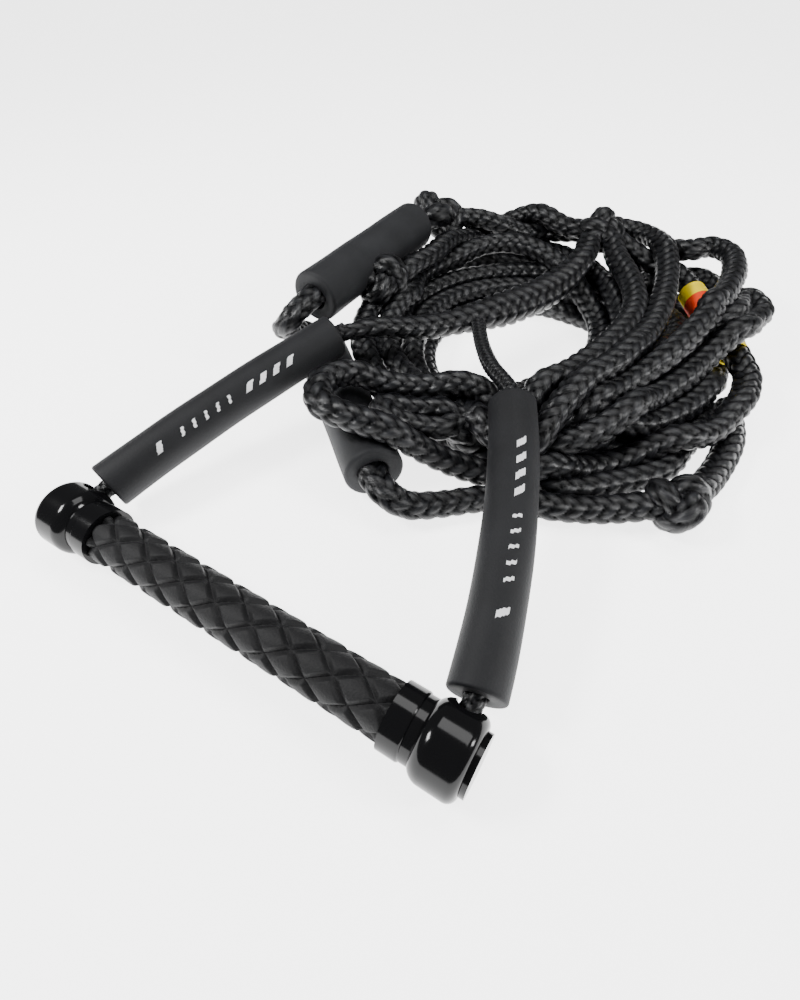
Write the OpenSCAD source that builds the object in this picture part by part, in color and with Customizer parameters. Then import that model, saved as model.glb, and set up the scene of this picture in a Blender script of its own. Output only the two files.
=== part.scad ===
// Short tow rope handle: a padded bar with two end caps, a foam-sleeved bridle and a thick
// braided rope gathered in a loose pile, with two foam floats and a marker sleeve on it.

/* [Handle bar] */
// Visible length of the foam grip between the two caps
grip_length = 186; // [150:2:220]
// Outer diameter of the foam grip
grip_od = 29.5; // [27:0.5:34]
// Outer diameter of the aluminium tube inside the grip
tube_od = 22.2; // [19:0.1:24]
// Wall of the aluminium tube
tube_wall = 1.6; // [1:0.1:2.5]
// How far the tube runs into each cap
tube_into_cap = 15; // [10:1:20]
// Gap between the tube and what fits on it, on the radius
tube_gap = 0.05; // [0.02:0.01:0.1]

/* [End caps] */
// Outer diameter of the cap's bulb
bulb_od = 38.6; // [36:0.2:46]
// Overall length of one cap from the grip to its outer face
cap_length = 41; // [40:1:46]
// Outer diameter of the collar beside the grip
collar_od = 32.6; // [30:0.2:36]
// Length of the collar
collar_length = 11; // [9:1:14]
// Diameter of the neck between the collar and the bulb
neck_od = 31; // [27.5:0.1:31.4]
// Length of the neck
neck_length = 3; // [2:0.5:5]
// Radius of the chamber that holds the stopper knot
chamber_r = 13; // [12:0.5:14]
// Thickness of the end plug's disc
plug_disc = 2.4; // [2:0.2:4]
// Length of the end plug's spigot
plug_spigot = 4; // [3:0.5:6]
// Gap round the spigot
plug_gap = 0.1; // [0.05:0.05:0.3]

/* [Bridle] */
// Diameter of the thin bridle rope
bridle_d = 10; // [8:0.5:11]
// Outer diameter of the foam sleeves
sleeve_od = 28.5; // [24:0.5:32]
// Gap round the bridle rope in the foam sleeves, on the radius
sleeve_gap = 0.8; // [0.6:0.1:3]
// Length of each foam sleeve along its centre line
sleeve_length = 172; // [130:2:186]
// Bend of the left sleeve
left_bend = 9; // [4:1:10]
// Bend of the right sleeve
right_bend = 16; // [12:1:18]
// Angle at which the sleeves lean inward where they begin
exit_angle = 12; // [8:1:14]
// Angle at which the bridle rises from the bar to the rope pile
lift = 11; // [11:0.5:14]
// Distance from the bar's axis to the sleeves
sleeve_start = 24; // [23.5:0.5:32]
// Half of the angle that the bar may roll in the bridle
roll_limit = 20; // [10:5:20]
// Gap round the bridle rope in the cap's mouth
mouth_gap = 1.2; // [1:0.1:1.6]
// Rope that shows past each sleeve before it joins the next stretch
leg_past = 10; // [9:1:14]

/* [Tow rope] */
// Diameter of the thick braided rope
rope_d = 17; // [15:0.5:17.5]
// Outer diameter of the foam floats
float_od = 38; // [34:1:38.5]
// Length of each foam float
float_length = 140; // [110:5:145]
// Gap round the rope in the floats, on the radius
float_gap = 0.9; // [0.7:0.1:1.2]
// Length of the marker sleeve
marker_length = 78; // [60:2:84]
// Gap round the rope in the marker sleeve, on the radius
marker_gap = 0.6; // [0.4:0.1:0.8]
// Wall of the marker sleeve
marker_wall = 1.3; // [1:0.1:1.6]
// Outer radius of the rope pile
pile_r = 140; // [125:1:140]
// Radius of the hole in the rope pile
pile_hole_r = 48; // [30:1:52]
// Height of the rope pile, two ropes deep
pile_h = 36; // [30:1:36]
// Height of the piled turns at the right and far sides, above the floor
heap_h = 62; // [52:1:66]
// Inner radius of those upper turns
heap_inner_r = 66; // [56:1:80]
// Diameter of the small knots
knot_d = 34; // [30:1:36]
// Diameter of the big knot behind the far float
big_knot_d = 40; // [36:1:42]
// Radius of the tow loop, on its centre line
eye_r = 26; // [22:1:30]

/* [Hidden] */
$fn = 64;
bar_z = bulb_od / 2;
grip_half = grip_length / 2;
rope_r = rope_d / 2;
bridle_r = bridle_d / 2;
float_bore_r = rope_r + float_gap;
marker_bore_r = rope_r + marker_gap;
sleeve_bore_r = bridle_r + sleeve_gap;
marker_r = marker_bore_r + marker_wall;
neck_end = collar_length + neck_length;
bulb_round = 8;
bulb_edge = 5;
socket_r = tube_od / 2 + tube_gap;
chamber_start = tube_into_cap + 5;
chamber_end = cap_length - plug_disc;
// the stopper knot sits in the middle of its chamber, and the bridle leaves from there
knot_at = (chamber_start + chamber_end - plug_spigot) / 2;
stopper_r = (chamber_end - plug_spigot - chamber_start) / 2 - 0.6;
exit_x = grip_half + knot_at;
sleeve_x = exit_x;
// points along a sleeve's centre arc, in the bridle's plane, for the left side's sign
function arc_r(bend) = sleeve_length / bend * 180 / PI;
function arc_u(bend, a) = sleeve_x - arc_r(bend) * (cos(exit_angle) - cos(exit_angle + a));
function arc_v(bend, a) = sleeve_start + arc_r(bend) * (sin(exit_angle + a) - sin(exit_angle));
// the rope's hand-laid points, from the floor up, in the handle's frame
float_route = [[168, 195, 17], [150, 184, 13], [127, 171, 9], [105, 160, 9], [84, 154, 9],
    [64, 142, 9], [46, 126, 9], [30, 112, 13], [14, 111, 19], [-114, 217, 19], [-125, 222, 21],
    [-130, 211, 29], [-126, 196, 38], [-117, 190, 49], [-113, 203, 57], [-111, 371, 62],
    [-108, 392, 58]];
back_route = [[-108, 392, 58], [-80, 418, 58], [-42, 445, 50], [-6, 458, 50], [28, 448, 56]];
splice_route = [[-42, 219, 57], [-17, 248, 50], [0, 272, 47], [14, 305, 46], [26, 340, 46],
    [32, 380, 48], [32, 415, 52], [28, 448, 56]];
lead_route = [[34, 212, 53], [16, 236, 50], [0, 262, 48]];
marker_route = [[28, 448, 56], [56, 452, 49], [82, 446, 42], [107, 436, 37], [178, 341, 25],
    [186, 318, 22], [184, 296, 20], [178, 272, 20], [164, 248, 20]];
outer_route = [[168, 195, 17], [181, 224, 14], [184, 256, 12], [182, 290, 12], [168, 318, 14]];
left_route = [[10, 188, 27], [-18, 181, 44], [-38, 166, 51], [-46, 150, 53], [-40, 136, 52],
    [-20, 130, 50], [4, 139, 46], [32, 151, 33], [58, 172, 24]];
// where the pile, the knots and the tow loop lie
pile_at = [46, 298];
hole_at = [28, 280];
knot_right_at = [168, 195, knot_d / 2];
knot_top_at = [28, 448, 56];
knot_rear_at = [-108, 392, 58];
knot_front_at = [34, 180, 27];
eye_at = [92, 478];
eye_splice_from = [74, 424, rope_r + 1.5];
marker_slide = 14;
fit = 0.3;
// far corner of a sleeve, for the frame's origin
function far_tilt(bend) = sqrt(1 - pow(cos(exit_angle + bend) * cos(lift), 2));
function far_y(bend) = arc_v(bend, bend) * cos(lift) + sleeve_od / 2 * far_tilt(bend);
mid_y = (max(far_y(left_bend), far_y(right_bend)) - bulb_od / 2) / 2;

function unit(v) = v / norm(v);
function along(p, i) = unit(p[min(i + 1, len(p) - 1)] - p[max(i - 1, 0)]);
function ring(p, t, r, n) = let (a = unit(cross([0.3, 0.1, 1], t)), b = cross(t, a))
    [for (k = [0:n - 1]) p + r * (cos(360 * k / n) * a + sin(360 * k / n) * b)];

// a rope: one closed tube swept along its points
module rope_tube(p, r) {
    n = 10;
    m = len(p);
    rings = [for (i = [0:m - 1]) each ring(p[i], along(p, i), r, n)];
    near_end = [[for (k = [0:n - 1]) k]];
    far_end = [[for (k = [n - 1:-1:0]) (m - 1) * n + k]];
    sides = [for (i = [0:m - 2]) for (k = [0:n - 1]) each
        [[i * n + k, (i + 1) * n + (k + 1) % n, i * n + (k + 1) % n],
        [i * n + k, (i + 1) * n + k, (i + 1) * n + (k + 1) % n]]];
    polyhedron(points = rings, faces = concat(near_end, sides, far_end), convexity = 6);
}

// puts a shape drawn along +Z on the line from a to b
module on_line(a, b) {
    d = b - a;
    translate((a + b) / 2)
        rotate([0, acos(d[2] / norm(d)), atan2(d[1], d[0])])
            children();
}

// the whole part is drawn from the bar's axis, then moved so its own middle is the origin
module placed() {
    translate([0, -mid_y, 0])
        children();
}

// the bar's axis along +X, for shapes drawn along +Z
module on_bar(x, side = 1) {
    translate([side * x, 0, bar_z])
        rotate([0, side * 90, 0])
            children();
}

// the bridle's own plane, through the bar's axis and rising to the pile
module bridle_plane() {
    translate([0, 0, bar_z])
        rotate([lift, 0, 0])
            children();
}

module round_rod(r, length) {
    translate([0, 0, -length / 2])
        cylinder(r = r, h = length);
}

module handle_tube() {
    length = grip_length + 2 * tube_into_cap;
    color("silver") placed() on_bar(0) difference() {
        round_rod(tube_od / 2, length);
        round_rod(tube_od / 2 - tube_wall, length + 1);
    }
}

module tube_foam_core() {
    core_r = tube_od / 2 - tube_wall - tube_gap;
    color("white") placed() on_bar(0)
        round_rod(core_r, grip_length);
}

module grip() {
    color("dimgray") placed() on_bar(0) difference() {
        round_rod(grip_od / 2, grip_length - 0.4);
        round_rod(socket_r, grip_length + 1);
    }
}

// half of the cap's outline, turned about the bar's axis
module cap_profile() {
    flat_end = cap_length - plug_disc;
    bulb_r = bulb_od / 2;
    collar_r = collar_od / 2;
    square([collar_r, collar_length - 1.6]);
    square([collar_r - 1.6, collar_length]);
    translate([collar_r - 1.6, collar_length - 1.6])
        circle(r = 1.6);
    square([neck_od / 2, neck_end + bulb_round]);
    translate([0, neck_end])
        square([bulb_r - bulb_round, flat_end - neck_end]);
    translate([0, neck_end + bulb_round])
        square([bulb_r, flat_end - neck_end - bulb_round - bulb_edge]);
    translate([0, neck_end + bulb_round])
        square([bulb_r - bulb_edge, flat_end - neck_end - bulb_round]);
    translate([bulb_r - bulb_round, neck_end + bulb_round])
        circle(r = bulb_round);
    translate([bulb_r - bulb_edge, flat_end - bulb_edge])
        circle(r = bulb_edge);
}

// the rope's way out of the cap: one mouth at each end of the roll and the slot between them
module cap_mouth(side) {
    mouth_r = bridle_r + mouth_gap;
    half_slot = mouth_r + 0.05;
    reach = bulb_od;
    for (a = [-roll_limit, roll_limit])
        rotate([lift + a, 0, 0])
            translate([side * exit_x, 0, 0])
                rotate([-90, 0, 0])
                    cylinder(r = mouth_r, h = reach);
    rotate([lift - roll_limit, 0, 0])
        rotate([0, 90, 0])
            rotate([0, 0, 90])
                rotate_extrude(angle = 2 * roll_limit)
                    translate([0, side * exit_x - half_slot])
                        square([reach, 2 * half_slot]);
}

module cap(side) {
    placed() difference() {
        on_bar(grip_half, side) difference() {
            rotate_extrude()
                intersection() {
                    cap_profile();
                    square([bulb_od, cap_length]);
                }
            translate([0, 0, -1])
                cylinder(r = socket_r, h = tube_into_cap + 1.2);
            translate([0, 0, chamber_start])
                cylinder(r = chamber_r, h = cap_length);
        }
        translate([0, 0, bar_z])
            cap_mouth(side);
    }
}

module cap_left() {
    color("black") cap(-1);
}

module cap_right() {
    color("black") cap(1);
}

module end_plug(side) {
    disc_at = grip_half + cap_length - plug_disc;
    placed() {
        on_bar(disc_at, side)
            cylinder(r = bulb_od / 2 - bulb_edge, h = plug_disc);
        on_bar(disc_at - plug_spigot, side)
            cylinder(r = chamber_r - plug_gap, h = plug_spigot);
    }
}

module end_plug_left() {
    color("black") end_plug(-1);
}

module end_plug_right() {
    color("black") end_plug(1);
}

module stopper_knot(side) {
    placed() on_bar(exit_x, side)
        sphere(r = stopper_r);
}

module stopper_knot_left() {
    color("black") stopper_knot(-1);
}

module stopper_knot_right() {
    color("black") stopper_knot(1);
}

// a round section swept along a sleeve's arc, from angle a0 to a1
module bridle_arc(side, bend, a0, a1) {
    middle_u = sleeve_x - arc_r(bend) * cos(exit_angle);
    middle_v = sleeve_start - arc_r(bend) * sin(exit_angle);
    placed() bridle_plane()
        translate([side * middle_u, middle_v, 0])
            rotate([0, side > 0 ? 0 : 180, 0])
                rotate([0, 0, exit_angle + a0])
                    rotate_extrude(angle = a1 - a0, $fn = 180)
                        translate([arc_r(bend), 0])
                            children();
}

module bridle_leg(side, bend) {
    past = leg_past / arc_r(bend) * 180 / PI;
    straight = sleeve_start - stopper_r + 0.5;
    bridle_arc(side, bend, 0, bend + past)
        circle(r = bridle_r, $fn = 32);
    placed() bridle_plane()
        translate([side * exit_x, 0, 0])
            rotate([-90, 0, 0]) {
                translate([0, 0, stopper_r - 0.5])
                    cylinder(r = bridle_r - 0.2, h = straight);
                translate([0, 0, sleeve_start])
                    sphere(r = bridle_r - 0.1);
            }
}

module bridle_leg_left() {
    color("darkslategray") bridle_leg(-1, left_bend);
}

module bridle_leg_right() {
    color("darkslategray") bridle_leg(1, right_bend);
}

module sleeve(side, bend) {
    bridle_arc(side, bend, 0, bend)
        difference() {
            circle(r = sleeve_od / 2, $fn = 64);
            circle(r = sleeve_bore_r, $fn = 64);
        }
}

module sleeve_left() {
    color("dimgray") sleeve(-1, left_bend);
}

module sleeve_right() {
    color("dimgray") sleeve(1, right_bend);
}

// end of a bridle leg past its sleeve, as a point of the rope's route
function leg_end(side, bend) = let (a = bend + leg_past / arc_r(bend) * 180 / PI,
    u = arc_u(bend, a), v = arc_v(bend, a)) [side * u, v * cos(lift), bar_z + v * sin(lift)];

module bridle_lead() {
    color("darkslategray") placed()
        rope_tube(concat([leg_end(1, right_bend)], lead_route), bridle_r);
}

module bridle_splice() {
    color("darkslategray") placed()
        rope_tube(concat([leg_end(-1, left_bend)], splice_route), rope_r);
}

// room for the marker sleeve and its rope through the pile
module marker_way() {
    a = marker_route[3];
    b = marker_route[4];
    on_line(a, b)
        round_rod(marker_r + fit + 1, marker_length + 2 * marker_slide + 4);
}

module rope_pile() {
    edge = 12;
    color("darkslategray") placed() difference() {
        translate([pile_at[0], pile_at[1], 0])
            rotate_extrude($fn = 120) {
                square([pile_r - edge, pile_h]);
                square([pile_r, pile_h - edge]);
                translate([pile_r - edge, pile_h - edge])
                    circle(r = edge);
            }
        translate([hole_at[0], hole_at[1], -1])
            cylinder(r = pile_hole_r, h = pile_h + 2);
        marker_way();
    }
}

module rope_heap() {
    edge = 12;
    inner = heap_inner_r;
    outer = pile_r - 2;
    height = heap_h - pile_h;
    color("darkslategray") placed() difference() {
        translate([pile_at[0], pile_at[1], pile_h])
            rotate([0, 0, -50])
                rotate_extrude(angle = 138, $fn = 120) {
                    translate([inner, 0])
                        square([outer - inner, height - edge]);
                    translate([inner + edge, 0])
                        square([outer - inner - 2 * edge, height]);
                    translate([inner + edge, height - edge])
                        circle(r = edge);
                    translate([outer - edge, height - edge])
                        circle(r = edge);
                }
        marker_way();
    }
}

module marker_rope() {
    color("darkslategray") placed()
        rope_tube(marker_route, rope_r);
}

module marker_sleeve() {
    color("yellow") placed() on_line(marker_route[3], marker_route[4]) difference() {
        round_rod(marker_r, marker_length);
        round_rod(marker_bore_r, marker_length + 1);
    }
}

module marker_band() {
    band = marker_length / 4;
    color("orangered") placed() on_line(marker_route[3], marker_route[4])
        translate([0, 0, -marker_length / 5]) difference() {
            round_rod(marker_r + 0.35, band);
            round_rod(marker_r, band + 1);
        }
}

module foam_float(a, b) {
    placed() on_line(a, b) difference() {
        round_rod(float_od / 2, float_length);
        round_rod(float_bore_r, float_length + 1);
    }
}

module float_front() {
    color("dimgray") foam_float(float_route[8], float_route[9]);
}

module float_rear() {
    color("dimgray") foam_float(float_route[14], float_route[15]);
}

module float_rope() {
    color("darkslategray") placed()
        rope_tube(float_route, rope_r);
}

module outer_run() {
    color("darkslategray") placed()
        rope_tube(outer_route, rope_r);
}

module left_loop() {
    color("darkslategray") placed()
        rope_tube(left_route, rope_r);
}

module back_run() {
    color("darkslategray") placed()
        rope_tube(back_route, rope_r);
}

module knot_right() {
    color("darkslategray") placed() translate(knot_right_at)
        sphere(d = knot_d);
}

module knot_top() {
    color("darkslategray") placed() translate(knot_top_at)
        sphere(d = knot_d);
}

module knot_rear() {
    color("darkslategray") placed() translate(knot_rear_at)
        sphere(d = big_knot_d);
}

module knot_front() {
    color("darkslategray") placed() translate(knot_front_at)
        sphere(d = knot_d);
}

module tow_eye() {
    color("darkslategray") placed() translate([eye_at[0], eye_at[1], bridle_r + 2])
        rotate_extrude()
            translate([eye_r, 0])
                circle(r = bridle_r + 2, $fn = 32);
}

module eye_splice() {
    toward = unit(concat(eye_at, [eye_splice_from[2]]) - eye_splice_from);
    reach = norm(concat(eye_at, [eye_splice_from[2]]) - eye_splice_from) - eye_r + 2;
    color("darkslategray") placed()
        on_line(eye_splice_from, eye_splice_from + reach * toward)
            round_rod(rope_r + 1.5, reach);
}

handle_tube();
tube_foam_core();
grip();
cap_left();
cap_right();
end_plug_left();
end_plug_right();
stopper_knot_left();
stopper_knot_right();
bridle_leg_left();
bridle_leg_right();
sleeve_left();
sleeve_right();
bridle_lead();
bridle_splice();
rope_pile();
rope_heap();
marker_rope();
marker_sleeve();
marker_band();
float_front();
float_rear();
float_rope();
outer_run();
left_loop();
back_run();
knot_right();
knot_top();
knot_rear();
knot_front();
tow_eye();
eye_splice();
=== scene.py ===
import math

import bpy
import numpy as np
from mathutils import Matrix, Vector


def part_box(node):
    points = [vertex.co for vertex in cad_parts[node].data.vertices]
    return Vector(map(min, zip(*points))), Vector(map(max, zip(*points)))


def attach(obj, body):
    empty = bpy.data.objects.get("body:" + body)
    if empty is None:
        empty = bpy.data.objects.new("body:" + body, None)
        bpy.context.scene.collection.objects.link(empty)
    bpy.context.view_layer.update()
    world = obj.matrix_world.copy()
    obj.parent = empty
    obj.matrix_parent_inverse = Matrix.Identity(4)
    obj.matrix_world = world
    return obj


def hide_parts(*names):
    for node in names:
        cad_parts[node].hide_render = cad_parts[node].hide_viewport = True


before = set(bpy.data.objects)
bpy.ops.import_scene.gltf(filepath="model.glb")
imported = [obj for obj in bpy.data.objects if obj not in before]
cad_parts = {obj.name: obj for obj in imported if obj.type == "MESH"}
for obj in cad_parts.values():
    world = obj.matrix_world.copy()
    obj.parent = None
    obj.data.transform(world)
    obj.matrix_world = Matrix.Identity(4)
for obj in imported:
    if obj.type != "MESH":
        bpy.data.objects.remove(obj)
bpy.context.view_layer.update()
gripLow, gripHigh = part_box("grip")
barMid = (np.array(gripLow) + np.array(gripHigh)) / 2
rng = np.random.default_rng(7)


# millimetres measured from the bar, turned into metres in the shared frame
def laid(points):
    flat = np.array(points, dtype=float) / 1000
    flat[:, 1] += barMid[1]
    return flat


# camera, floor and lights
shot = {
    "eye": (144.8, -79.2, 262.6),
    "yaw": 31.735,
    "pitch": 47.811,
    "lens": 25.2,
    "sensor": 36,
    "nearest": 0.01,
}
studio = {
    "floorHalf": 6,
    "floorDrop": 0.0006,
    "floorTone": 0.9,
    "floorRough": 0.9,
    "floorGlow": 3.4,
    "fillTone": (0.97, 0.98, 1.0, 1),
    "fill": 0.22,
}
# each light's place, the point it faces, its two sides in metres and its watts
lamps = {
    "keyBox": ((-0.55, -0.35, 0.75), (0, 0, 0), (0.32, 0.2), 12),
    "overheadBox": ((0.1, 0.5, 1.3), (0.05, 0.15, 0), (1.0, 0.7), 12),
    "rimBox": ((0.9, 0.3, 0.6), (0.1, 0.1, 0), (0.2, 0.34), 8),
}


def aimCamera():
    camera = bpy.data.cameras.new("shotCamera")
    camera.lens = shot["lens"]
    camera.sensor_width = shot["sensor"]
    camera.sensor_fit = "HORIZONTAL"
    camera.clip_start = shot["nearest"]
    rig = bpy.data.objects.new("shotCamera", camera)
    bpy.context.scene.collection.objects.link(rig)
    rig.location = laid([shot["eye"]])[0]
    pitch = math.radians(90 - shot["pitch"])
    rig.rotation_euler = (pitch, 0, math.radians(shot["yaw"]))
    bpy.context.scene.camera = rig


def areaLight(name, place, target, size, watts):
    lamp = bpy.data.lights.new(name, "AREA")
    lamp.shape = "RECTANGLE"
    lamp.size, lamp.size_y = size
    lamp.energy = watts
    holder = bpy.data.objects.new(name, lamp)
    bpy.context.scene.collection.objects.link(holder)
    holder.location = place
    aim = Vector(target) - Vector(place)
    holder.rotation_euler = aim.to_track_quat("-Z", "Y").to_euler()


def nodeMaterial(name):
    made = bpy.data.materials.new(name)
    made.use_nodes = True
    tree = made.node_tree
    shader = tree.nodes["Principled BSDF"]
    return made, tree, shader


def addNode(tree, kind, inputs=None, **settings):
    made = tree.nodes.new(kind)
    for key, value in settings.items():
        setattr(made, key, value)
    for key, value in (inputs or {}).items():
        made.inputs[key].default_value = value
    return made


def addRamp(tree, low, high):
    made = addNode(tree, "ShaderNodeValToRGB")
    for stop, (place, tone) in zip(made.color_ramp.elements, (low, high)):
        stop.position = place
        stop.color = (*tone, 1)
    return made


def meshObject(name, points, faces, uv=None, smooth=True):
    mesh = bpy.data.meshes.new(name)
    points = np.asarray(points, dtype=np.float32)
    faces = np.asarray(faces, dtype=np.int32)
    corners = faces.shape[1]
    mesh.vertices.add(len(points))
    mesh.vertices.foreach_set("co", points.ravel())
    mesh.loops.add(faces.size)
    mesh.loops.foreach_set("vertex_index", faces.ravel())
    mesh.polygons.add(len(faces))
    mesh.polygons.foreach_set("loop_start", np.arange(0, faces.size, corners, dtype=np.int32))
    mesh.update(calc_edges=True)
    mesh.polygons.foreach_set("use_smooth", np.full(len(faces), smooth))
    if uv is not None:
        layer = mesh.uv_layers.new(name="fibre")
        layer.data.foreach_set("uv", np.asarray(uv, dtype=np.float32).ravel())
    mesh.validate()
    mesh.update()
    made = bpy.data.objects.new(name, mesh)
    bpy.context.scene.collection.objects.link(made)
    return made


def finishPiece(piece, material, body, stands=()):
    piece.data.materials.clear()
    piece.data.materials.append(material)
    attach(piece, body)
    if stands:
        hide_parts(*stands)


print("camera and floor")
aimCamera()


def makeFloor():
    half = studio["floorHalf"]
    points = [(-half, -half, 0), (half, -half, 0), (half, half, 0), (-half, half, 0)]
    floor = meshObject("floor", points, [(0, 1, 2, 3)], smooth=False)
    material, tree, shader = nodeMaterial("floorPaper")
    tone = studio["floorTone"]
    shader.inputs["Base Color"].default_value = (tone, tone, tone, 1)
    shader.inputs["Roughness"].default_value = studio["floorRough"]
    shader.inputs["Emission Color"].default_value = (1, 1, 1, 1)
    shader.inputs["Emission Strength"].default_value = studio["floorGlow"]
    floor.data.materials.append(material)
    floor.location.z = -studio["floorDrop"]


makeFloor()
world = bpy.data.worlds.new("studio")
world.use_nodes = True
background = world.node_tree.nodes["Background"]
background.inputs["Color"].default_value = studio["fillTone"]
background.inputs["Strength"].default_value = studio["fill"]
bpy.context.scene.world = world
for name, lamp in lamps.items():
    areaLight(name, *lamp)

# the rope's line: listed points, settled so that strands lie on one another
ropeSizes = {
    "thick": 17.0,
    "splice": 22.0,
    "nest": 15.0,
    "spacing": 0.007,
}
settling = {
    "rounds": 140,
    "sag": 0.00045,
    "homePull": 0.05,
    "bendPull": 0.25,
    "press": 0.95,
    "neighbours": 5,
    "crowd": 0.6,
}


# a smooth curve through the points, with no loops at tight turns
def spline(points, spacing):
    points = np.asarray(points, dtype=float)
    ends = [2 * points[0] - points[1], *points, 2 * points[-1] - points[-2]]
    fine = []
    for a, b, c, d in zip(ends, ends[1:], ends[2:], ends[3:]):
        reach = [np.sqrt(np.linalg.norm(v - u)) + 1e-6 for u, v in ((a, b), (b, c), (c, d))]
        inward = (b - a) / reach[0] - (c - a) / (reach[0] + reach[1]) + (c - b) / reach[1]
        outward = (c - b) / reach[1] - (d - b) / (reach[1] + reach[2]) + (d - c) / reach[2]
        m0, m1 = inward * reach[1], outward * reach[1]
        t = np.linspace(0, 1, 24, endpoint=False)[:, None]
        fine.append((2 * t**3 - 3 * t**2 + 1) * b + (t**3 - 2 * t**2 + t) * m0
                    + (-2 * t**3 + 3 * t**2) * c + (t**3 - t**2) * m1)
    fine = np.vstack([*fine, points[-1:]])
    return evenly(fine, spacing)


def evenly(line, spacing):
    along = np.concatenate([[0], np.cumsum(np.linalg.norm(np.diff(line, axis=0), axis=1))])
    count = max(4, int(round(along[-1] / spacing)) + 1)
    at = np.linspace(0, along[-1], count)
    return np.stack([np.interp(at, along, line[:, k]) for k in range(3)], axis=1)


def lineLength(line):
    return float(np.linalg.norm(np.diff(line, axis=0), axis=1).sum())


spliceRoute = [(-74, 184, 54), (-62, 198, 56), (-39, 220, 57), (-16, 254, 56), (-1, 284, 54),
               (12, 309, 52), (22, 338, 52), (30, 371, 53), (32, 412, 55), (28, 448, 56)]
markerRoute = [(28, 448, 56), (56, 452, 49), (82, 446, 42), (107, 436, 37), (178, 341, 25),
               (186, 318, 22), (184, 296, 20), (178, 270, 18), (148, 234, 13), (126, 212, 10),
               (98, 190, 10), (68, 172, 12), (44, 156, 22), (26, 143, 34), (4, 130, 45),
               (-18, 124, 51), (-36, 124, 53), (-46, 134, 53), (-48, 148, 53), (-38, 161, 52),
               (-16, 170, 48), (8, 182, 42), (36, 192, 38), (66, 190, 34), (90, 184, 32),
               (103, 200, 32), (118, 230, 32), (132, 268, 34), (144, 312, 38), (156, 352, 42),
               (168, 380, 43), (172, 402, 42), (160, 418, 42), (148, 400, 42), (140, 360, 42),
               (125, 318, 42), (108, 278, 42), (94, 246, 40), (80, 212, 38)]
archRoute = [(28, 448, 56), (38, 478, 58), (58, 482, 60), (78, 466, 60), (92, 432, 60),
             (102, 388, 60), (108, 345, 58), (109, 306, 56), (104, 272, 52), (96, 238, 50),
             (86, 206, 48), (72, 184, 44), (50, 178, 38), (24, 190, 32), (-6, 200, 32),
             (-34, 208, 36), (-58, 222, 38), (-72, 246, 38), (-82, 282, 40), (-90, 322, 44),
             (-86, 360, 48), (-70, 392, 52), (-44, 414, 54), (-12, 418, 52), (18, 408, 40),
             (44, 392, 26), (64, 372, 26), (76, 344, 26), (80, 312, 28), (76, 280, 30),
             (68, 252, 32), (60, 226, 34), (50, 212, 34)]
leftRoute = [(34, 180, 26), (10, 168, 30), (-16, 172, 30), (-40, 186, 34), (-64, 204, 38),
             (-84, 228, 40), (-96, 258, 44), (-92, 292, 48), (-84, 330, 50), (-82, 372, 52),
             (-84, 410, 52), (-64, 440, 52), (-34, 452, 52), (0, 446, 54), (28, 448, 56)]
sideRoute = [(70, 190, 26), (96, 202, 26), (114, 232, 24), (128, 268, 24), (136, 308, 26),
             (140, 350, 28), (142, 396, 32), (140, 436, 38), (130, 466, 42), (112, 474, 42),
             (96, 456, 36), (84, 428, 28)]
flatRoute = [(28, 448, 56), (46, 420, 58), (70, 392, 58), (88, 362, 58), (96, 326, 58),
             (92, 290, 58), (84, 256, 54), (76, 222, 50), (66, 200, 44)]
lowerRoute = [(168, 318, 9), (170, 290, 9), (160, 256, 9), (140, 222, 9), (110, 196, 9),
              (76, 180, 9), (40, 176, 9), (4, 184, 9), (-30, 204, 9), (-58, 232, 9),
              (-76, 268, 9), (-80, 308, 9), (-70, 348, 9), (-48, 384, 9), (-14, 408, 9),
              (28, 416, 9), (70, 410, 9), (108, 390, 9), (136, 360, 9), (150, 322, 9),
              (146, 284, 9), (130, 250, 9), (106, 222, 9), (74, 206, 9), (38, 200, 9),
              (4, 210, 9), (-26, 230, 9), (-48, 258, 9), (-58, 292, 9), (-52, 330, 9),
              (-34, 362, 9), (-6, 384, 9), (28, 394, 9), (64, 388, 9), (96, 368, 9),
              (118, 338, 9), (124, 304, 9), (116, 270, 9), (98, 244, 9), (72, 228, 9)]
middleRoute = [(72, 228, 26), (98, 236, 26), (112, 262, 26), (122, 296, 26), (120, 336, 26),
               (104, 368, 26), (76, 390, 26), (40, 400, 26), (0, 396, 26), (-34, 378, 26),
               (-56, 348, 26), (-66, 312, 26), (-64, 274, 26), (-50, 242, 26), (-24, 216, 26),
               (8, 200, 26), (40, 196, 26)]
floatRoute = [(168, 195, 17), (150, 184, 13), (127, 171, 9), (105, 160, 9), (84, 154, 9),
              (64, 142, 9), (46, 126, 9), (30, 112, 13), (14, 111, 19), (-114, 217, 19),
              (-125, 222, 21), (-130, 211, 29), (-126, 196, 38), (-117, 190, 49),
              (-113, 203, 57), (-111, 371, 62), (-108, 392, 58)]
outerRoute = [(168, 195, 17), (181, 224, 14), (184, 256, 12), (182, 290, 12), (168, 318, 9)]
rearRoute = [(-86, 290, 10), (-104, 330, 12), (-106, 372, 16), (-86, 410, 22), (-48, 436, 26),
             (-6, 448, 28), (40, 446, 26), (84, 430, 26), (112, 402, 26), (128, 368, 30),
             (126, 330, 34), (112, 296, 34), (96, 268, 34)]
fillRoute = [(-64, 440, 34), (-30, 452, 40), (0, 441, 42), (26, 425, 42), (50, 404, 42),
             (72, 380, 40), (88, 350, 38), (97, 318, 36), (96, 285, 34), (88, 250, 30),
             (70, 224, 26)]
crossRoute = [(60, 452, 40), (84, 462, 46), (103, 463, 50), (118, 474, 52), (134, 462, 54),
              (143, 428, 55), (143, 384, 55), (138, 341, 54), (129, 309, 52), (117, 280, 50),
              (106, 245, 46), (95, 217, 42), (80, 198, 36), (56, 190, 30)]
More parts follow.
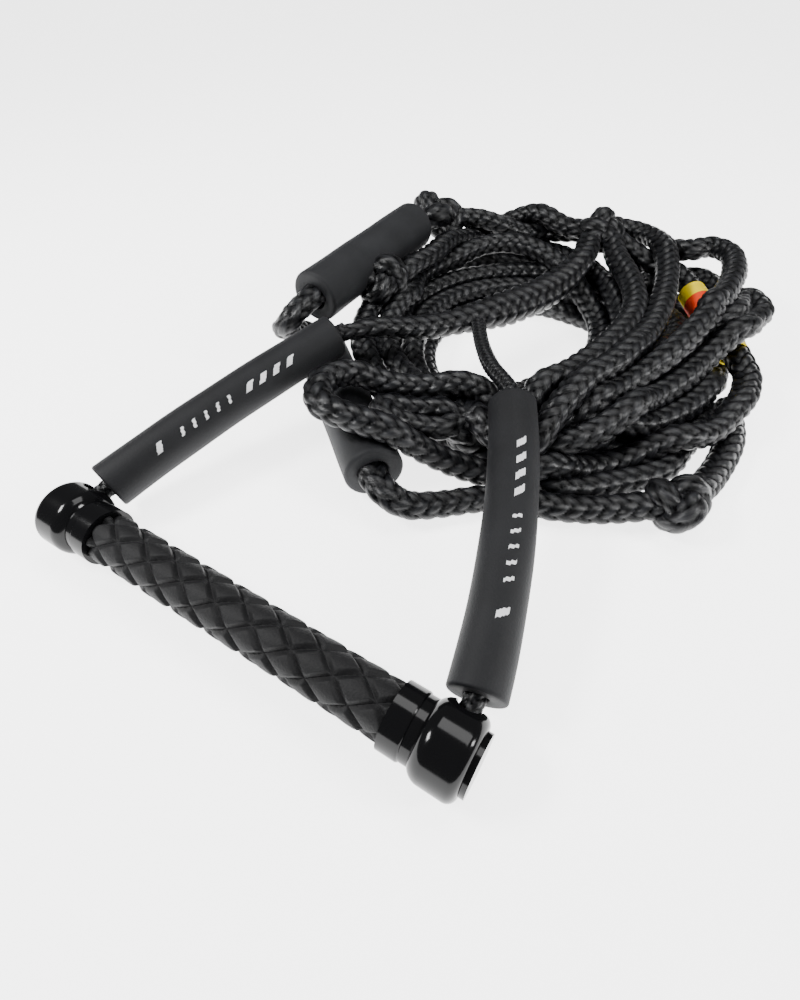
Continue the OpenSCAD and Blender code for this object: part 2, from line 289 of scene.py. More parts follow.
wallRoute = [(60, 446, 12), (104, 438, 12), (140, 410, 12), (162, 372, 12), (167, 332, 22),
             (158, 296, 24), (140, 262, 24), (116, 232, 24), (90, 212, 24), (60, 200, 24)]
nestRoute = [(34, 180, 30), (20, 156, 40), (0, 145, 44), (-16, 138, 47), (-27, 142, 48),
             (-27, 152, 48), (-10, 160, 45), (14, 170, 42), (34, 180, 32)]
innerRoute = [(-58, 244, 20), (-76, 276, 24), (-84, 320, 28), (-78, 362, 28), (-54, 394, 26),
              (-16, 412, 26), (26, 414, 24), (62, 400, 20), (92, 378, 14), (108, 348, 12),
              (106, 312, 12), (96, 284, 14)]
backRoute = [(-108, 392, 58), (-80, 418, 58), (-42, 445, 50), (-6, 458, 50), (28, 448, 56)]
knots = {"knot_right": (168, 195, 17), "knot_top": (28, 448, 56), "knot_rear": (-108, 392, 58),
         "knot_front": (34, 180, 27)}

ropes = {}


# pinned is the share of the line, from its start, that stays where it is laid
def addRope(name, route, width=ropeSizes["thick"], pinned=None):
    line = spline(laid(route), ropeSizes["spacing"])
    held = np.zeros(len(line), bool)
    if pinned is not None:
        held[:int(math.ceil(pinned * (len(line) - 1))) + 1] = True
    ropes[name] = {"line": line, "radius": width / 2000, "pins": held}


def pinNear(name, places, reach):
    line = ropes[name]["line"]
    for place in laid(places):
        ropes[name]["pins"] |= np.linalg.norm(line - place, axis=1) < reach


addRope("spliceRope", spliceRoute, ropeSizes["splice"])
addRope("markerRope", markerRoute)
addRope("archRope", archRoute)
addRope("leftRope", leftRoute)
addRope("sideRope", sideRoute)
addRope("flatRope", flatRoute)
addRope("lowerRope", lowerRoute)
addRope("middleRope", middleRoute)
addRope("floatRope", floatRoute, pinned=1)
addRope("outerRope", outerRoute, pinned=0.1)
addRope("backRope", backRoute)
addRope("rearRope", rearRoute)
addRope("innerRope", innerRoute)
addRope("fillRope", fillRoute)
addRope("crossRope", crossRoute)
addRope("nestRope", nestRoute, ropeSizes["nest"])
addRope("wallRope", wallRoute)
# places that keep a rope where it is laid, and how far from them it holds
knotReach = 0.012
holds = [
    ("spliceRope", spliceRoute[:2], 0.02),
    ("markerRope", [(-29, 116, 53), (-43, 126, 53), (-47, 140, 53), (-42, 155, 53)], 0.011),
    ("markerRope", [(168, 380, 43), (172, 402, 42), (160, 418, 42)], 0.011),
    ("crossRope", [(103, 463, 50), (118, 474, 52), (134, 462, 54), (143, 428, 55)], 0.012),
    ("crossRope", [(143, 384, 55), (138, 341, 54)], 0.012),
]
for name in ropes:
    pinNear(name, list(knots.values()), knotReach)
for name, places, reach in holds:
    pinNear(name, places, reach)


# the run under the marker sleeve stays straight
def pinMarker():
    start, end = laid(markerRoute[3:5])
    line = ropes["markerRope"]["line"]
    span = end - start
    share = (line - start) @ span / (span @ span)
    off = np.linalg.norm(line - start - share[:, None] * span, axis=1)
    ropes["markerRope"]["pins"] |= (share > -0.05) & (share < 1.05) & (off < 0.004)


pinMarker()
# floats, sleeves and the marker, as rods that the rope is kept out of
solidRods = [
    ((9, 115, 19), (-108, 212, 19), 0.0195),
    ((-113, 212, 57.3), (-111, 362, 61.7), 0.0195),
    ((119, 26, 24), (106, 84, 36), 0.0148),
    ((106, 84, 36), (88, 140, 47), 0.0148),
    ((88, 140, 47), (62, 188, 56), 0.0148),
    ((-119, 26, 24), (-103, 95, 38), 0.0148),
    ((-103, 95, 38), (-78, 186, 56), 0.0148),
    ((112, 429, 36), (173, 348, 26), 0.0112),
]


def settle():
    names = list(ropes)
    points = np.vstack([ropes[n]["line"] for n in names])
    radius = np.concatenate([np.full(len(ropes[n]["line"]), ropes[n]["radius"]) for n in names])
    pinned = np.concatenate([ropes[n]["pins"] for n in names])
    owner = np.concatenate([np.full(len(ropes[n]["line"]), k) for k, n in enumerate(names)])
    home = points.copy()
    order = np.arange(len(points))
    steps = abs(order[:, None] - order[None, :])
    near = (owner[:, None] == owner[None, :]) & (steps < settling["neighbours"])
    upper = np.triu(np.ones((len(points), len(points)), bool), 1) & ~near
    want = (radius[:, None] + radius[None, :]) * settling["press"]
    free = (~pinned).astype(float)
    inside = np.zeros(len(points), bool)
    inside[1:-1] = (owner[1:-1] == owner[:-2]) & (owner[1:-1] == owner[2:])
    rods = [(*laid([a, b]), thick) for a, b, thick in solidRods]
    for turn in range(settling["rounds"]):
        ease = 1 - turn / settling["rounds"]
        points[:, 2] -= settling["sag"] * ease * free
        points += (home - points) * (settling["homePull"] * ease) * free[:, None]
        bend = np.zeros_like(points)
        bend[1:-1] = (points[:-2] + points[2:]) / 2 - points[1:-1]
        bend[~inside] = 0
        points += bend * settling["bendPull"] * free[:, None]
        square = (points**2).sum(axis=1)
        gap = square[:, None] + square[None, :] - 2 * points @ points.T
        i, j = np.nonzero(upper & (gap < want**2))
        if len(i):
            apart = points[i] - points[j]
            apart[:, 2] += 1e-5
            length = np.linalg.norm(apart, axis=1) + 1e-6
            push = apart / length[:, None] * ((want[i, j] - length) / 2)[:, None]
            weight = free[i] + free[j]
            weight[weight == 0] = 1
            move = np.zeros_like(points)
            count = np.zeros(len(points))
            np.add.at(move, i, push * (free[i] * 2 / weight)[:, None])
            np.add.at(move, j, -push * (free[j] * 2 / weight)[:, None])
            np.add.at(count, i, 1)
            np.add.at(count, j, 1)
            points += move / np.maximum(1, count * settling["crowd"])[:, None] * free[:, None]
        for start, end, thick in rods:
            reach = end - start
            share = np.clip((points - start) @ reach / (reach @ reach), 0, 1)
            away = points - start - share[:, None] * reach
            far = np.linalg.norm(away, axis=1) + 1e-9
            short = np.maximum(0, thick + radius - far)
            points += away / far[:, None] * short[:, None] * free[:, None]
        raised = np.maximum(points[:, 2], radius * settling["press"])
        points[:, 2] = np.where(pinned, points[:, 2], raised)
    start = 0
    for name in names:
        count = len(ropes[name]["line"])
        line = points[start: start + count]
        start += count
        ropes[name]["line"] = line.copy()


settle()
print("ropes settled")


# a set of directions carried along the line without twisting; the last one points down
def turnFrames(line):
    ahead = np.gradient(line, axis=0)
    ahead /= np.linalg.norm(ahead, axis=1)[:, None]
    side = np.zeros_like(line)
    first = np.cross(ahead[0], (0, 0, 1.0))
    if np.linalg.norm(first) < 0.1:
        first = np.cross(ahead[0], (1.0, 0, 0))
    side[0] = first / np.linalg.norm(first)
    for k in range(1, len(line)):
        carried = side[k - 1] - ahead[k] * (side[k - 1] @ ahead[k])
        side[k] = carried / np.linalg.norm(carried)
    return ahead, side, np.cross(ahead, side)


braid = {
    "plaits": 6,
    "lay": 58.0,
    "around": 56,
    "step": 1.3,
    "wide": 1.06,
    "tall": 0.92,
    "relief": 0.2,
    "strandEdge": 3.2,
    "strandLift": 0.62,
    "strandCrown": 0.75,
    "swell": (0.025, 90, 0.02, 37),
    "fibreShift": (7.31, 3.77, 50),
    "endWidth": 0.04,
    "lowest": 0.0004,
}


# a round plait laid along a line: crossing strands, closed narrow ends, wide and tall its section
def braidPiece(name, line, width, taper=None, **look):
    look = {**braid, **look}
    around, plaits, step = look["around"], look["plaits"], look["step"] / 1000
    line = spline(line, step) if len(line) < 60 else evenly(spline(line, 0.0008), step)
    ahead, side, up = turnFrames(line)
    along = np.concatenate([[0], np.cumsum(np.linalg.norm(np.diff(line, axis=0), axis=1))])
    rings = len(line)
    angle = np.linspace(0, 2 * math.pi, around + 1)
    twist = 2 * math.pi * along / (look["lay"] / 1000) + rng.random() * 6
    p = (angle[None, :] - twist[:, None]) * plaits / (2 * math.pi)
    q = (angle[None, :] + twist[:, None]) * plaits / (2 * math.pi)

    def heights(p, q):
        i, j = np.floor(p), np.floor(q)
        across = [np.abs(p - i - 0.5) * 2, np.abs(q - j - 0.5) * 2]
        crown = [1 - a**look["strandEdge"] for a in across]
        lift = [np.cos((q + i - 1) * math.pi / 2), np.cos((p + j - 3) * math.pi / 2)]
        return [look["strandLift"] * u + look["strandCrown"] * c for u, c in zip(lift, crown)]

    one, two = heights(p, q)
    top = np.maximum(one, two)
    radius = width / 2000 * np.ones(rings)
    if taper is not None:
        radius = taper(along, along[-1]) / 2000
    big, fast, small, slow = look["swell"]
    swell = 1 + big * np.sin(along * fast + rng.random() * 6) + small * np.sin(along * slow)
    radius[0] *= look["endWidth"]
    radius[-1] *= look["endWidth"]
    level = radius[:, None] * swell[:, None] * (1 + look["relief"] * (top - 1.0))
    spoke = (np.cos(angle)[None, :, None] * side[:, None, :]
             + np.sin(angle)[None, :, None] * up[:, None, :]) * level[:, :, None]
    flat = np.cross(ahead, (0, 0, 1.0))
    size = np.linalg.norm(flat, axis=1)
    flat /= np.maximum(size, 1e-6)[:, None]
    over = np.cross(flat, ahead)
    sideways = (spoke * flat[:, None, :]).sum(axis=2)
    upward = (spoke * over[:, None, :]).sum(axis=2)
    level = np.minimum(1, size)[:, None]
    spoke += flat[:, None, :] * (sideways * (look["wide"] - 1) * level)[:, :, None]
    spoke += over[:, None, :] * (upward * (look["tall"] - 1) * level)[:, :, None]
    points = (line[:, None, :] + spoke)[:, :around]
    points[:, :, 2] = np.maximum(points[:, :, 2], look["lowest"])
    a, b = np.meshgrid(np.arange(rings - 1), np.arange(around), indexing="ij")
    nextB = (b + 1) % around
    faces = np.stack([a * around + b, a * around + nextB, (a + 1) * around + nextB,
                      (a + 1) * around + b], axis=-1).reshape(-1, 4)
    cornersP = np.stack([p[:-1, :-1], p[:-1, 1:], p[1:, 1:], p[1:, :-1]], axis=-1)
    cornersQ = np.stack([q[:-1, :-1], q[:-1, 1:], q[1:, 1:], q[1:, :-1]], axis=-1)
    midP, midQ = cornersP.mean(axis=-1), cornersQ.mean(axis=-1)
    one, two = heights(midP, midQ)
    first = (one > two)[:, :, None]
    across = np.where(first, cornersP - np.floor(midP)[:, :, None],
                      cornersQ - np.floor(midQ)[:, :, None])
    shiftP, shiftQ, apart = look["fibreShift"]
    run = np.where(first, cornersQ + shiftP * np.floor(midP)[:, :, None],
                   cornersP + shiftQ * np.floor(midQ)[:, :, None] + apart)
    uv = np.stack([across, run], axis=-1).reshape(-1, 2)
    piece = meshObject(name, points.reshape(-1, 3), faces, uv)
    crown = piece.data.attributes.new("crown", "FLOAT", "POINT")
    crown.data.foreach_set("value", top[:, :around].astype(np.float32).ravel())
    return piece, line


fibreLook = {
    "fibreScale": (15, 0.9, 1),
    "fibreDetail": 4,
    "bundleScale": (2.2, 0.5, 1),
    "dark": (0.42, (0.0004, 0.0004, 0.0005)),
    "pale": (0.62, (0.017, 0.0176, 0.02)),
    # painted shade: the grooves between strands are mixed towards this near-black tone, by the
    # strand height mapped through the range below
    "grooveShadeTone": (0.0002, 0.0002, 0.0003, 1),
    "grooveShade": {"From Min": 0.35, "From Max": 1.2, "To Min": 0.04, "To Max": 1.0},
    "shine": 0.4,
    "rough": 0.34,
    "streak": 0.8,
    "bump": {"Strength": 0.55, "Distance": 0.0006},
}


def ropeMaterial():
    material, tree, shader = nodeMaterial("braidedFibre")
    links = tree.links
    uvs = addNode(tree, "ShaderNodeUVMap", uv_map="fibre")
    stretch = addNode(tree, "ShaderNodeMapping", {"Scale": fibreLook["fibreScale"]})
    links.new(uvs.outputs["UV"], stretch.inputs["Vector"])
    fibres = addNode(tree, "ShaderNodeTexNoise", {"Scale": 1.0, "Detail": fibreLook["fibreDetail"]})
    links.new(stretch.outputs["Vector"], fibres.inputs["Vector"])
    bundle = addNode(tree, "ShaderNodeMapping", {"Scale": fibreLook["bundleScale"]})
    links.new(uvs.outputs["UV"], bundle.inputs["Vector"])
    patches = addNode(tree, "ShaderNodeTexNoise", {"Scale": 1.0})
    links.new(bundle.outputs["Vector"], patches.inputs["Vector"])
    mix = addNode(tree, "ShaderNodeMix", {0: 0.5}, data_type="FLOAT")
    links.new(fibres.outputs["Fac"], mix.inputs[2])
    links.new(patches.outputs["Fac"], mix.inputs[3])
    ramp = addRamp(tree, fibreLook["dark"], fibreLook["pale"])
    links.new(mix.outputs[0], ramp.inputs["Fac"])
    # strand height paints shade into the grooves between strands: darker colour there, and less
    # shine
    height = addNode(tree, "ShaderNodeAttribute", attribute_name="crown")
    grooveShade = addNode(tree, "ShaderNodeMapRange", fibreLook["grooveShade"])
    links.new(height.outputs["Fac"], grooveShade.inputs["Value"])
    shade = addNode(tree, "ShaderNodeMix", data_type="RGBA")
    shade.inputs[6].default_value = fibreLook["grooveShadeTone"]
    links.new(grooveShade.outputs["Result"], shade.inputs[0])
    links.new(ramp.outputs["Color"], shade.inputs[7])
    links.new(shade.outputs[2], shader.inputs["Base Color"])
    gloss = addNode(tree, "ShaderNodeMath", {1: fibreLook["shine"]}, operation="MULTIPLY")
    links.new(grooveShade.outputs["Result"], gloss.inputs[0])
    links.new(gloss.outputs["Value"], shader.inputs["Specular IOR Level"])
    shader.inputs["Roughness"].default_value = fibreLook["rough"]
    shader.inputs["Anisotropic"].default_value = fibreLook["streak"]
    tangent = addNode(tree, "ShaderNodeTangent", direction_type="UV_MAP", uv_map="fibre")
    links.new(tangent.outputs["Tangent"], shader.inputs["Tangent"])
    bump = addNode(tree, "ShaderNodeBump", fibreLook["bump"])
    links.new(fibres.outputs["Fac"], bump.inputs["Height"])
    links.new(bump.outputs["Normal"], shader.inputs["Normal"])
    return material


braided = ropeMaterial()


def layRope(name, stands, **look):
    rope = ropes[name]
    piece, line = braidPiece(name, rope["line"], rope["radius"] * 2000, **look)
    finishPiece(piece, braided, "rope", stands)


buried = {"around": 44, "step": 1.7}
splice = {
    "share": (0, 0.035, 0.1, 0.3, 0.45, 0.6, 0.75, 1),
    "width": (10, 10.3, 14, 18, 25, 26, 20, 18),
}


def spliceWidth(along, total):
    return np.interp(along / total, splice["share"], splice["width"])


layRope("floatRope", ["float_rope"], wide=1.1, tall=0.86)
layRope("spliceRope", ["bridle_splice"], taper=spliceWidth)
layRope("markerRope", ["marker_rope", "left_loop"])
layRope("archRope", ["rope_heap"])
layRope("leftRope", [])
layRope("sideRope", [], **buried)
layRope("flatRope", [])
layRope("lowerRope", ["rope_pile"], **buried)
layRope("middleRope", [], **buried)
layRope("outerRope", ["outer_run"])
layRope("backRope", ["back_run"])
layRope("rearRope", [], **buried)
layRope("innerRope", [], **buried)
layRope("fillRope", [])
layRope("crossRope", [])
layRope("nestRope", [])
layRope("wallRope", [], **buried)
print("ropes braided")

# bridle: thin legs, foam sleeves
bridle = {
    "barHeight": 19.3,
    "lift": 11.0,
    "lean": 12.0,
    "start": 24.0,
    "out": 120.3,
    "long": 172.0,
    "thin": 10.0,
    "foam": 28.5,
    "bore": 11.6,
    "leftBend": 9.0,
    "rightBend": 16.0,
}
sleeveSizes = {"outer": bridle["foam"], "bore": bridle["bore"], "edge": 1.6}
floatSizes = {"outer": 38.0, "bore": 18.8, "edge": 2.6}
floatLength = 140
foamShape = {
    "around": 96,
    "chamfer": 0.5,
    "lip": 0.8,
    "dent": 0.006,
    "grain": 900.0,
    "grainDetail": 3,
    "patch": 35,
    "dents": 0.5,
    "rough": 0.62,
    "shine": 0.22,
}


def bridlePoint(u, v):
    slope = math.radians(bridle["lift"])
    return (u, v * math.cos(slope), bridle["barHeight"] + v * math.sin(slope))


def sleeveLine(side, past=0.0, count=40):
    bend = bridle["leftBend"] if side < 0 else bridle["rightBend"]
    lean = math.radians(bridle["lean"])
    big = bridle["long"] / math.radians(bend)
    turn = math.radians(bend) + past / big
    line = []
    for a in np.linspace(0, turn, count):
        u = bridle["out"] - big * (math.cos(lean) - math.cos(lean + a))
        v = bridle["start"] + big * (math.sin(lean + a) - math.sin(lean))
        line.append(bridlePoint(side * u, v))
    return line


# a closed outline of (distance along, radius), turned round the line
def foamTube(name, line, outer, bore, edge, body, slot, material):
    total = lineLength(laid(line)) * 1000
    chamfer, lip = foamShape["chamfer"], bore / 2 + foamShape["lip"]
    turns = [(math.cos(a), math.sin(a)) for a in np.linspace(0, math.pi / 2, 6)]
    outline = [(chamfer, bore / 2), (0, lip), (0, outer / 2 - edge)]
    outline += [(edge * (1 - c), outer / 2 - edge * (1 - s)) for c, s in turns[1:]]
    outline += [(x, outer / 2) for x in np.linspace(edge * 1.5, total - edge * 1.5, 70)]
    outline += [(total - edge * (1 - s), outer / 2 - edge * (1 - c)) for c, s in turns[:-1]]
    outline += [(total, outer / 2 - edge), (total, lip), (total - chamfer, bore / 2)]
    outline += [(x, bore / 2) for x in np.linspace(total - 2, 2, 30)]
    path = spline(laid(line), 0.001)
    ahead, side, up = turnFrames(path)
    at = np.array([x for x, r in outline]) / total * (len(path) - 1)
    wide = np.array([r for x, r in outline]) / 1000
    known = np.arange(len(path))

    def across(values):
        return np.stack([np.interp(at, known, values[:, k]) for k in range(3)], axis=1)

    around = foamShape["around"]
    angle = np.linspace(0, 2 * math.pi, around, endpoint=False)
    dent = 1 + foamShape["dent"] * np.sin(at[:, None] * 0.11 + 2 * angle[None, :])
    spoke = (np.cos(angle)[None, :, None] * across(side)[:, None, :]
             + np.sin(angle)[None, :, None] * across(up)[:, None, :])
    points = across(path)[:, None, :] + spoke * (wide[:, None] * dent)[:, :, None]
    rings = len(outline)
    a, b = np.meshgrid(np.arange(rings), np.arange(around), indexing="ij")
    nextA, nextB = (a + 1) % rings, (b + 1) % around
    faces = np.stack([a * around + b, a * around + nextB, nextA * around + nextB,
                      nextA * around + b], axis=-1).reshape(-1, 4)
    piece = meshObject(name, points.reshape(-1, 3), faces)
    finishPiece(piece, material, body, [body])


def foamMaterial(name, tone, grain=foamShape["grain"], dents=foamShape["dents"]):
    material, tree, shader = nodeMaterial(name)
    links = tree.links
    place = addNode(tree, "ShaderNodeTexCoord")
    grainValues = {"Scale": grain, "Detail": foamShape["grainDetail"]}
    cells = addNode(tree, "ShaderNodeTexNoise", grainValues)
    links.new(place.outputs["Object"], cells.inputs["Vector"])
    wear = addNode(tree, "ShaderNodeTexNoise", {"Scale": foamShape["patch"]})
    links.new(place.outputs["Object"], wear.inputs["Vector"])
    dark, pale = [t * 0.8 for t in tone], [t * 1.25 for t in tone]
    ramp = addRamp(tree, (0.3, dark), (0.72, pale))
    links.new(wear.outputs["Fac"], ramp.inputs["Fac"])
    links.new(ramp.outputs["Color"], shader.inputs["Base Color"])
    shader.inputs["Roughness"].default_value = foamShape["rough"]
    shader.inputs["Specular IOR Level"].default_value = foamShape["shine"]
    bump = addNode(tree, "ShaderNodeBump", {"Strength": dents, "Distance": 0.0003})
    links.new(cells.outputs["Fac"], bump.inputs["Height"])
    links.new(bump.outputs["Normal"], shader.inputs["Normal"])
    return material


sleeveFoam = foamMaterial("sleeveFoam", (0.009, 0.0093, 0.0105))
floatFoam = foamMaterial("floatFoam", (0.014, 0.0145, 0.016))
sides = ((-1, "left"), (1, "right"))
for side, word in sides:
    foamTube(word + "SleeveFoam", sleeveLine(side), body="sleeve_" + word, slot="sleeves",
             material=sleeveFoam, **sleeveSizes)


def alongLine(a, b, length):
    a, b = np.array(a, dtype=float), np.array(b, dtype=float)
    middle, reach = (a + b) / 2, (b - a) / np.linalg.norm(b - a)
    return [middle + reach * t for t in np.linspace(-length / 2, length / 2, 12)]


floatPlaces = {"front": floatRoute[8:10], "rear": floatRoute[14:16]}
for word, (a, b) in floatPlaces.items():
    foamTube(word + "FloatFoam", alongLine(a, b, floatLength), body="float_" + word,
             slot="floats", material=floatFoam, **floatSizes)

# plain slanted bars printed on the foam sleeves: where each starts, its width and its height
mark = {
    "aim": {"left": 0.8, "right": 0.2},
    "spread": 0.34,
    "slant": 0.35,
    "clear": 0.05,
    "tone": (0.75, 0.75, 0.76),
    "first": [(0.2, 0.03, 0.6)],
    "thinBars": (5, 0.3, 0.05, 0.016, 0.5),
    "wideBars": (4, 0.58, 0.06, 0.038, 0.52),
}


def markBars():
    bars = list(mark["first"])
    for count, start, pitch, wide, tall in (mark["thinBars"], mark["wideBars"]):
        bars += [(start + pitch * k, wide, tall) for k in range(count)]
    return bars


def sleeveMark(word, side):
    line = spline(laid(sleeveLine(side)), 0.001)
    ahead, across, up = turnFrames(line)
    flip = -1 if side < 0 else 1
    reach = (bridle["foam"] / 2 * 1.0075 + mark["clear"]) / 1000
    long, high = 5, 9
    points, faces = [], []
    for at, wide, tall in markBars():
        first = len(points)
        for u in np.linspace(0, 1, long):
            for v in np.linspace(-1, 1, high):
                share = at + wide * u * 0.7 + wide * mark["slant"] * (v * flip)
                k = int(np.clip(share, 0, 1) * (len(line) - 1))
                turn = mark["aim"][word] + v * tall * mark["spread"]
                spoke = math.sin(turn) * across[k] - math.cos(turn) * up[k]
                points.append(line[k] + spoke * reach)
        for a in range(long - 1):
            for b in range(high - 1):
                c = first + a * high + b
                faces.append((c, c + 1, c + high + 1, c + high))
    piece = meshObject(word + "SleeveMark", points, faces)
    finishPiece(piece, markInk, "sleeve_" + word)


markInk = foamMaterial("markInk", mark["tone"], grain=700.0, dents=0.2)
for side, word in sides:
    sleeveMark(word, side)
print("foam made")

# the thin legs, from inside the caps to where they leave the sleeves
legBraid = {"plaits": 8, "lay": 34.0, "around": 48, "step": 0.8, "wide": 1.0, "tall": 1.0}
legStart = (6, 11, 16, 20)
legPast = 10.0
leadRoute = [(34, 212, 53), (16, 236, 50), (0, 262, 49)]
legLines = {}
for side, word in sides:
    start = [bridlePoint(side * bridle["out"], v) for v in legStart]
    legLines[word] = start + sleeveLine(side, past=legPast, count=24)[1:]
legLines["right"] += leadRoute
legStands = {"left": ["bridle_leg_left"], "right": ["bridle_leg_right", "bridle_lead"]}
for word, route in legLines.items():
    piece, line = braidPiece(word + "Leg", laid(route), bridle["thin"], **legBraid)
    finishPiece(piece, braided, "rope", legStands[word])
print("legs laid")

# knots, each a tight turn of the same braid: its size, how it is spun and how it is tipped
knotSizes = {
    "knot_right": (40, 0.3, 0.2),
    "knot_top": (42, 1.2, 0.5),
    "knot_rear": (52, 2.1, 0.3),
    "knot_front": (38, 0.9, 1.2),
    "rope_fold": (46, 0.2, 0.7),
}
knotShape = {
    "rope": 14.5,
    "whole": 36,
    "depth": 1.25,
    "lay": 52.0,
    "turns": 90,
}
foldPlace = (-92, 274, 52)


def knotPiece(node, place, stands):
    size, spin, tip = knotSizes[node]
    t = np.linspace(0, 2 * math.pi, knotShape["turns"])
    shape = np.stack([np.sin(t) + 2 * np.sin(2 * t), np.cos(t) - 2 * np.cos(2 * t),
                      -knotShape["depth"] * np.sin(3 * t)], axis=1)
    thin = knotShape["rope"] * size / knotShape["whole"]
    shape *= (size - thin) / 2 / 3
    turn = np.array(Matrix.Rotation(spin, 3, "Z") @ Matrix.Rotation(tip, 3, "X"))
    line = laid(shape @ turn.T + np.array(place))
    name = node.replace("_", ".") + ".wraps"
    piece, line = braidPiece(name, line, thin, lay=knotShape["lay"])
    finishPiece(piece, braided, "rope", stands)


for node, place in knots.items():
    knotPiece(node, place, [node])
knotPiece("rope_fold", foldPlace, [])

# tow loop under the pile
eye = {
    "middle": (92, 478, 7),
    "radius": 26.0,
    "thick": 13.0,
    "lay": 50.0,
    "rootThick": 18.0,
    "rootLay": 60.0,
    "root": [(74, 424, 10), (79, 436, 10), (85, 449, 9), (90, 458, 8)],
}


def eyePiece():
    t = np.linspace(0, 2 * math.pi, 60)
    x, y, z = eye["middle"]
    ring = np.stack([x + eye["radius"] * np.cos(t), y + eye["radius"] * np.sin(t), z + 0 * t],
                    axis=1)
    piece, line = braidPiece("towLoop", laid(ring), eye["thick"], lay=eye["lay"])
    finishPiece(piece, braided, "rope", ["tow_eye"])
    root = laid(eye["root"])
    piece, line = braidPiece("towLoopSplice", root, eye["rootThick"], lay=eye["rootLay"])
    finishPiece(piece, braided, "rope", ["eye_splice"])


eyePiece()
print("knots and loop made")

# quilted grip: diamonds between grooves, each a little higher at one corner
quilt = {
    "long": 185.6,
    "radius": 14.75,
    "bore": 11.3,
    "diamonds": 8,
    "around": 5,
    "depth": 2.2,
    "groove": 0.17,
    "seam": 0.03,
    "seamDepth": 0.35,
    "tilt": 1.1,
    "endRound": 1.2,
    "rings": 420,
    "spokes": 220,
    "tone": (0.007, 0.007, 0.0075),
    "grain": 1100.0,
    "dents": 0.9,
}


def gripPiece():
    rings, around = quilt["rings"], quilt["spokes"]
    lift = bridle["barHeight"]
    x = np.linspace(-quilt["long"] / 2, quilt["long"] / 2, rings)[:, None]
    angle = np.linspace(0, 2 * math.pi, around, endpoint=False)[None, :]
    along = x / (quilt["long"] / quilt["diamonds"])
    p = along + angle * quilt["around"] / (2 * math.pi) + 0.5
    q = along - angle * quilt["around"] / (2 * math.pi)
    away = [np.minimum(v - np.floor(v), np.ceil(v) - v) for v in (p, q)]
    rise = [np.clip((a - 0.012) / quilt["groove"], 0, 1) for a in away]
    rise = [r * r * (3 - 2 * r) for r in rise]
    lean = (p - np.floor(p) + q - np.floor(q)) / 2
    crown = np.sin(np.pi * (p - np.floor(p))) * np.sin(np.pi * (q - np.floor(q)))
    height = rise[0] * rise[1] * (0.68 + 0.22 * crown + quilt["tilt"] * (lean - 0.5) * 0.5)
    seam = 1 - np.clip(np.minimum(away[0], away[1]) / quilt["seam"], 0, 1)
    height = height - quilt["seamDepth"] * seam
    ends = np.clip((quilt["long"] / 2 - abs(x)) / quilt["endRound"], 0, 1)
    radius = (quilt["radius"] - quilt["depth"] * (1.1 - height)) * (0.97 + 0.03 * np.sqrt(ends))
    radius = np.minimum(radius, quilt["radius"])
    points = np.stack([x + 0 * angle, radius * np.sin(angle), lift + radius * np.cos(angle)],
                      axis=-1)
    for place in (0, -1):
        ring = points[place].copy()
        ring[:, 1] = quilt["bore"] * np.sin(angle[0])
        ring[:, 2] = lift + quilt["bore"] * np.cos(angle[0])
        part = [ring[None], points] if place == 0 else [points, ring[None]]
        points = np.concatenate(part)
    rings = len(points)
    a, b = np.meshgrid(np.arange(rings - 1), np.arange(around), indexing="ij")
    nextB = (b + 1) % around
    faces = np.stack([a * around + b, (a + 1) * around + b, (a + 1) * around + nextB,
                      a * around + nextB], axis=-1).reshape(-1, 4)
    piece = meshObject("quiltedGrip", laid(points.reshape(-1, 3)), faces)
    finishPiece(piece, gripFoam, "handle", ["grip"])


gripFoam = foamMaterial("gripFoam", quilt["tone"], grain=quilt["grain"], dents=quilt["dents"])
gripPiece()
print("grip made")

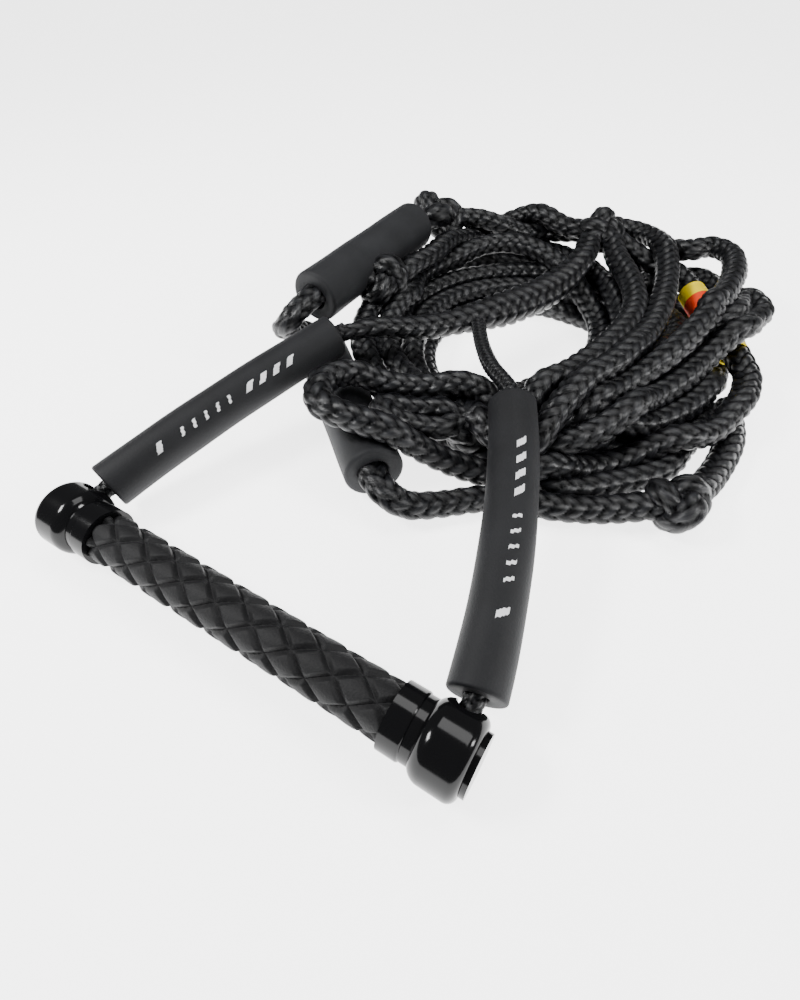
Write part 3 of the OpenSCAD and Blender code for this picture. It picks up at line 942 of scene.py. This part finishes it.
# finishes for the pieces whose solid shape is kept: tone, roughness and grain
finishes = {
    "capGloss": ((0.003, 0.003, 0.0034), 0.11, 60),
    "tubeMetal": ((0.72, 0.73, 0.75), 0.3, 300),
    "markerFilm": ((0.95, 0.72, 0.0), 0.5, 220),
    "bandFilm": ((0.8, 0.05, 0.008), 0.5, 220),
}
coreTone = (0.7, 0.7, 0.67)
filmShine = 0.2


def paint(nodes, material):
    for name in nodes:
        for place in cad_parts[name].material_slots:
            place.material = material


def glossMaterial(name):
    tone, rough, grain = finishes[name]
    material, tree, shader = nodeMaterial(name)
    links = tree.links
    place = addNode(tree, "ShaderNodeTexCoord")
    marks = addNode(tree, "ShaderNodeTexNoise", {"Scale": grain, "Detail": 5})
    links.new(place.outputs["Object"], marks.inputs["Vector"])
    spread = {"To Min": rough * 0.7, "To Max": rough * 1.6}
    ramp = addNode(tree, "ShaderNodeMapRange", spread)
    links.new(marks.outputs["Fac"], ramp.inputs["Value"])
    links.new(ramp.outputs["Result"], shader.inputs["Roughness"])
    shader.inputs["Base Color"].default_value = (*tone, 1)
    bump = addNode(tree, "ShaderNodeBump", {"Strength": 0.03, "Distance": 0.0002})
    links.new(marks.outputs["Fac"], bump.inputs["Height"])
    links.new(bump.outputs["Normal"], shader.inputs["Normal"])
    return material, shader


# less shine where the surface turns away, so that the caps keep dark edges
def softenEdges(material, shader):
    tree = material.node_tree
    facing = addNode(tree, "ShaderNodeLayerWeight", {"Blend": 0.45})
    fade = {"From Min": 0.2, "From Max": 0.9, "To Min": 0.26, "To Max": 0.03}
    level = addNode(tree, "ShaderNodeMapRange", fade)
    tree.links.new(facing.outputs["Facing"], level.inputs["Value"])
    tree.links.new(level.outputs["Result"], shader.inputs["Specular IOR Level"])


capGloss, shader = glossMaterial("capGloss")
softenEdges(capGloss, shader)
paint(["cap_left", "cap_right", "end_plug_left", "end_plug_right"], capGloss)
tubeMetal, shader = glossMaterial("tubeMetal")
shader.inputs["Metallic"].default_value = 1.0
paint(["handle_tube"], tubeMetal)
paint(["tube_foam_core"], foamMaterial("coreFoam", coreTone, grain=500.0))
paint(["stopper_knot_left", "stopper_knot_right"], braided)
for name, node in (("markerFilm", "marker_sleeve"), ("bandFilm", "marker_band")):
    film, shader = glossMaterial(name)
    shader.inputs["Specular IOR Level"].default_value = filmShine
    paint([node], film)
print("finishes set")
